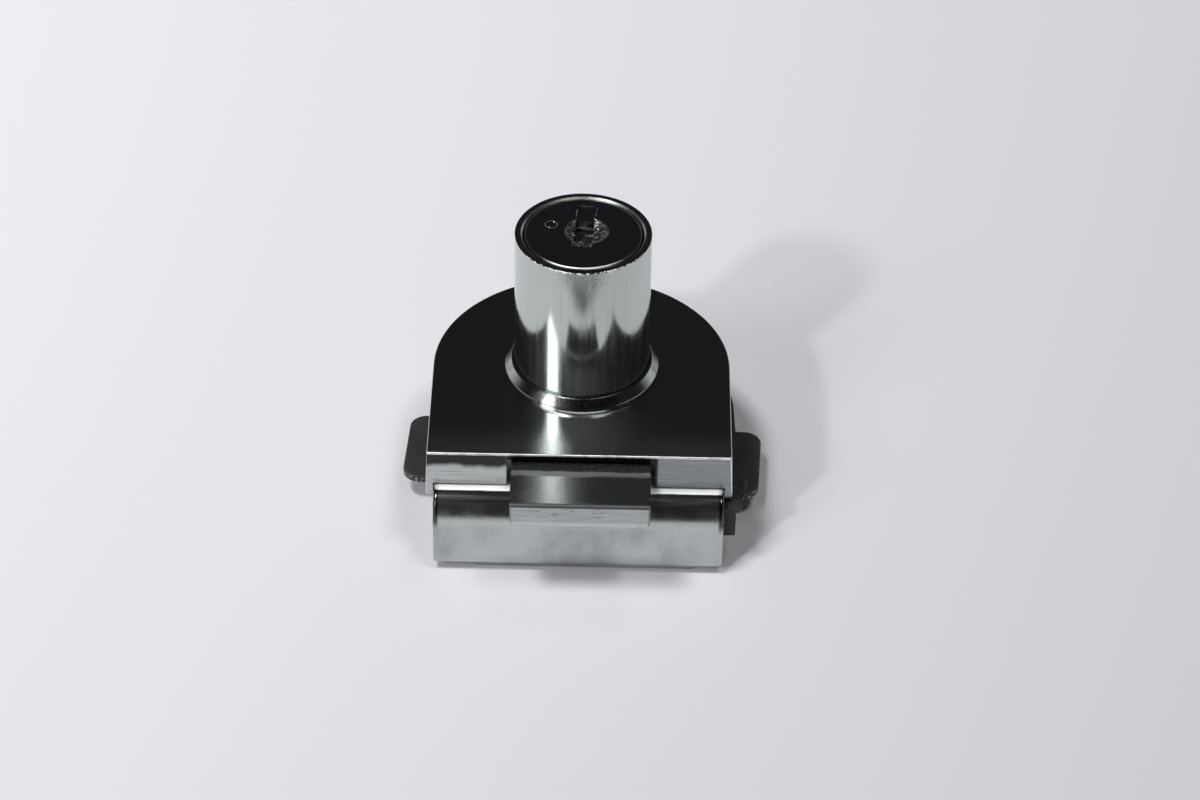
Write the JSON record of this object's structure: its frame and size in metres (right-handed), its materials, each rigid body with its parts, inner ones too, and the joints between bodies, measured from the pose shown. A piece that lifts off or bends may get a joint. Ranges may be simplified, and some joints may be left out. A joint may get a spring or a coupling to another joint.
{
  "type": "glass door lock",
  "caption": "Clamp-on lock for a frameless glass door: a round key barrel on a D-shaped cover, with a flat bolt that a quarter turn draws in and a screw-tightened glass clamp.",
  "frame": {"origin": "on the barrel's axis, at the underside of the clamp's rest pad", "axes": "+Z along the barrel, out of its key face; +Y towards the rounded back, so that the bolt is thrown towards -Y; +X to the right, seen from the bolt's side"},
  "size_m": [0.0591, 0.0585, 0.0473],
  "materials": {
    "cover_chrome": "polished chrome plate with a faint drawn grain",
    "collar_chrome": "polished chrome plate",
    "barrel_chrome": "polished chrome plate with upright polishing lines",
    "plug_chrome": "polished chrome plate",
    "bolt_chrome": "polished, with a filed front end",
    "clamp_chrome": "polished chrome plate, satin on its upright face",
    "plate_steel": "dark blackened steel with bright worn edges",
    "core_brass": "turned brass",
    "pin_brass": "turned brass",
    "cam_steel": "machined steel",
    "shutter_steel": "dull pressed steel",
    "spring_steel": "spring wire",
    "screw_steel": "zinc-plated steel",
    "screw_black": "black oxide steel",
    "rubber_black": "matt black rubber"
  },
  "bodies": {
    "lock_body": {"housing": "cover_chrome", "barrel_collar": "collar_chrome", "barrel_sleeve": "barrel_chrome", "cylinder_core": "core_brass", "driver_pins": "pin_brass", "pin_springs": "spring_steel", "clamp": "clamp_chrome", "housing_screws": "screw_steel", "glass_liner": "rubber_black"},
    "plug": {"plug": "plug_chrome", "key_pins": "pin_brass", "shutter_pin": "screw_steel", "shutter_spring": "spring_steel", "drive_cam": "cam_steel", "drive_pin": "cam_steel", "cam_washer": "core_brass", "cam_screw": "screw_steel"},
    "key_shutter": {"key_shutter": "shutter_steel"},
    "bolt": {"bolt": "bolt_chrome"},
    "pressure_plate": {"pressure_plate": "plate_steel", "pressure_pad": "rubber_black", "screw_clips": "spring_steel"},
    "clamp_screw_left": {"clamp_screw_left": "screw_black"},
    "clamp_screw_right": {"clamp_screw_right": "screw_black"}
  },
  "joints": [
    {"name": "plug_turn", "type": "hinge", "parent": "lock_body", "child": "plug", "pos_m": [0, 0, 0.034], "axis": [0, 0, 1], "range_deg": [0, 90]},
    {"name": "bolt_slide", "type": "slide", "parent": "lock_body", "child": "bolt", "axis": [0, 1, 0], "range_m": [0, 0.008]},
    {"name": "shutter_swing", "type": "hinge", "parent": "plug", "child": "key_shutter", "pos_m": [0.00023, 0.00324, 0.0442], "axis": [0.9976, -0.0698, 0], "range_deg": [0, 80], "stiffness_Nm_per_rad": 0.00002, "springref_deg": -34.38},
    {"name": "plate_slide", "type": "slide", "parent": "lock_body", "child": "pressure_plate", "axis": [0, 0, 1], "range_m": [0, 0.0016]},
    {"name": "left_screw_turn", "type": "hinge", "parent": "pressure_plate", "child": "clamp_screw_left", "pos_m": [-0.014, -0.0038, 0.002], "axis": [0, 0, 1], "range_deg": [0, 720.5]},
    {"name": "right_screw_turn", "type": "hinge", "parent": "pressure_plate", "child": "clamp_screw_right", "pos_m": [0.014, -0.0038, 0.002], "axis": [0, 0, 1], "range_deg": [0, 720.5]}
  ],
  "couplings": [
    {"joint": "plug_turn", "follows": "bolt_slide", "rad_per_m": 196.34},
    {"joint": "left_screw_turn", "follows": "plate_slide", "rad_per_m": 7854},
    {"joint": "right_screw_turn", "follows": "plate_slide", "rad_per_m": 7854}
  ]
}
